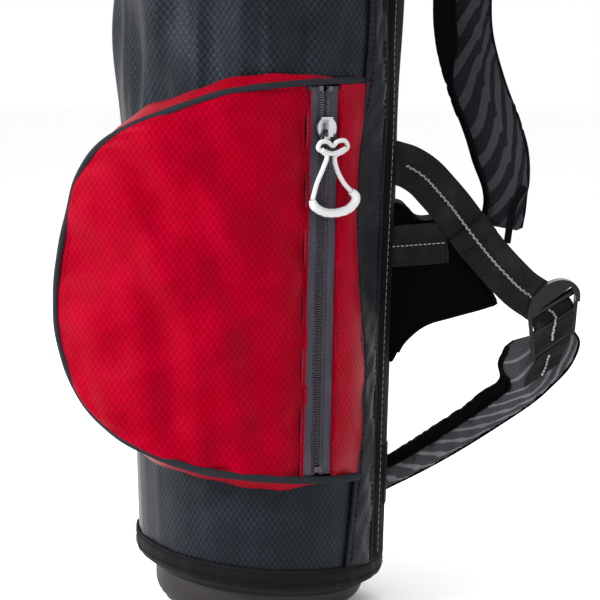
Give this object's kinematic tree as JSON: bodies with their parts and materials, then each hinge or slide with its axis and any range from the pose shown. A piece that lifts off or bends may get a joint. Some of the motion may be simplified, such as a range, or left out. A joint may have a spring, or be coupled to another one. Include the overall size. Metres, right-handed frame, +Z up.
{
  "type": "golf stand bag",
  "caption": "Small round golf stand bag with a zipped ball pocket, padded shoulder straps and folding legs worked by a kick plate under the base.",
  "frame": {"origin": "centre of the base's bottom face, on the floor", "axes": "+Z up; -Y the ball pocket side; +X the spine with the straps"},
  "size_m": [0.297, 0.2126, 0.59],
  "materials": {
    "base_plastic": "moulded, fine grain",
    "webbing": "ribbed woven polyester",
    "shell_fabric": "ripstop polyester",
    "red_fabric": "dobby polyester",
    "metal": "zinc-plated",
    "chrome": "polished",
    "white_plastic": "moulded",
    "white_cord": "braided cord",
    "pad_fabric": "striped knit over foam",
    "rod_plastic": "fibreglass rod",
    "black_plastic": "moulded",
    "leg_metal": "powder-coated tube",
    "rubber": "ribbed",
    "tape": "zip tape"
  },
  "bodies": {
    "bag": {"base_cup": "base_plastic", "base_band": "webbing", "body_sleeve": "shell_fabric", "stay_rods": "rod_plastic", "top_collar": "base_plastic", "collar_cuff": "webbing", "divider_bars": "black_plastic", "divider_panel": "shell_fabric", "collar_rivets": "metal", "spine_facing": "shell_fabric", "spine_panel": "webbing", "handle_webbing": "webbing", "handle_grip": "black_plastic", "pocket_face": "red_fabric", "pocket_strip": "red_fabric", "pocket_gusset": "red_fabric", "pocket_piping": "shell_fabric", "zip_tapes": "tape", "zip_coil": "tape", "zip_stops": "black_plastic", "hip_pad": "webbing", "hip_webbing": "webbing", "shoulder_webbing": "webbing", "ladder_lock": "black_plastic", "upper_pad": "pad_fabric", "upper_backing": "webbing", "upper_webbing": "webbing", "upper_anchor": "black_plastic", "upper_tail": "webbing", "lower_pad": "pad_fabric", "lower_backing": "webbing", "lower_loop": "webbing", "lower_anchor": "webbing", "leg_bracket": "black_plastic", "leg_pins": "metal", "rod_guides": "black_plastic", "hinge_pin": "metal", "towel_tab": "webbing"},
    "zip_slider": {"zip_slider": "chrome"},
    "zip_pull": {"slider_ring": "black_plastic", "pull_cord": "white_cord", "pull_grip": "white_plastic"},
    "leg_left": {"leg_left": "leg_metal", "knuckle_left": "black_plastic", "foot_left": "rubber", "clip_left": "black_plastic"},
    "leg_right": {"leg_right": "leg_metal", "knuckle_right": "black_plastic", "foot_right": "rubber", "clip_right": "black_plastic"},
    "push_rod": {"push_rod": "metal", "rod_yoke": "black_plastic", "rod_pin": "metal"},
    "arm_left": {"arm_left": "metal"},
    "arm_right": {"arm_right": "metal"},
    "kick_plate": {"kick_plate": "base_plastic"},
    "towel_ring": {"towel_ring": "metal"}
  },
  "joints": [
    {"name": "leg_left_swing", "type": "hinge", "parent": "bag", "child": "leg_left", "pos_m": [-0.07605, 0.05525, 0.556], "axis": [0.5878, 0.809, 0], "range_deg": [0, 36], "stiffness_Nm_per_rad": 0.8},
    {"name": "leg_right_swing", "type": "hinge", "parent": "bag", "child": "leg_right", "pos_m": [-0.00983, 0.09348, 0.556], "axis": [0.9945, 0.1045, 0], "range_deg": [-0.5, 36.5]},
    {"name": "push_rod_slide", "type": "slide", "parent": "bag", "child": "push_rod", "axis": [-0.0107, 0.0186, 0.9998], "range_m": [-0.0001, 0.0324]},
    {"name": "arm_left_pivot", "type": "hinge", "parent": "push_rod", "child": "arm_left", "pos_m": [-0.04627, 0.08014, 0.40841], "axis": [-0.5878, -0.809, 0], "range_deg": [-0.5, 38]},
    {"name": "arm_right_pivot", "type": "hinge", "parent": "push_rod", "child": "arm_right", "pos_m": [-0.04627, 0.08014, 0.40841], "axis": [-0.9945, -0.1045, 0], "range_deg": [-0.5, 38]},
    {"name": "kick_plate_hinge", "type": "hinge", "parent": "bag", "child": "kick_plate", "pos_m": [-0.0025, 0.00433, 0.0065], "axis": [0.866, 0.5, 0], "range_deg": [-0.01, 22.02]},
    {"name": "zip_slider_travel", "type": "slide", "parent": "bag", "child": "zip_slider", "axis": [0.0208, 0.0142, 0.9997], "range_m": [-0.176, 0.012]},
    {"name": "zip_pull_swing", "type": "hinge", "parent": "zip_slider", "child": "zip_pull", "pos_m": [0.03938, -0.07802, 0.27549], "axis": [-0.8258, -0.5633, 0.0251], "range_deg": [0, 100]},
    {"name": "towel_ring_swing", "type": "hinge", "parent": "bag", "child": "towel_ring", "pos_m": [0.04136, 0.07779, 0.4826], "axis": [0.8829, -0.4695, 0], "range_deg": [0, 150]}
  ],
  "couplings": [
    {"joint": "leg_right_swing", "follows": "leg_left_swing", "ratio": 1},
    {"joint": "push_rod_slide", "follows": "leg_left_swing", "m_per_rad": 0.051237},
    {"joint": "arm_left_pivot", "follows": "leg_left_swing", "ratio": 1.0399},
    {"joint": "arm_right_pivot", "follows": "leg_left_swing", "ratio": 1.0399},
    {"joint": "kick_plate_hinge", "follows": "leg_left_swing", "ratio": 0.61111}
  ]
}
